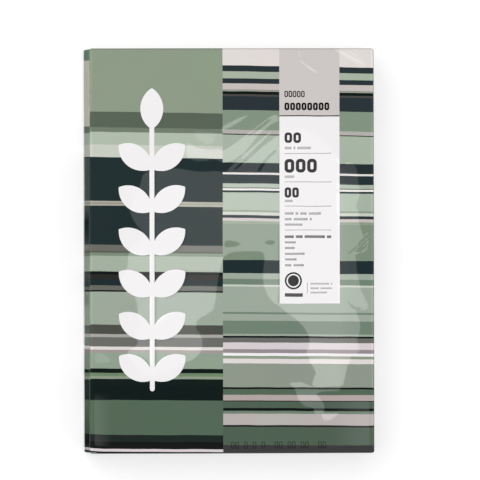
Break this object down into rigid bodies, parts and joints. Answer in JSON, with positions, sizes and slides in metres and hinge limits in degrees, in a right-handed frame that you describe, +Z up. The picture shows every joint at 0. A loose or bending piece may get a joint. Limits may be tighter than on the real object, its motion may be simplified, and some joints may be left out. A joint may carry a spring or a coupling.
{
  "type": "ream of paper",
  "caption": "Sealed pack of office paper: a flat rectangular block in one folded, printed film-laminated wrapper, with mitred flaps closing both ends.",
  "frame": {"origin": "on the surface that the pack lies on, under the middle of the pack", "axes": "+Z up out of the printed face, +Y along the sheets' long side towards the top of the print, +X across the sheets to the print's right"},
  "size_m": [0.2132, 0.3002, 0.0512],
  "materials": {
    "wrapper": "glossy film laminate over striped green, grey and near-black print"
  },
  "bodies": {
    "root": {"wrapped_ream": "wrapper"}
  },
  "joints": []
}
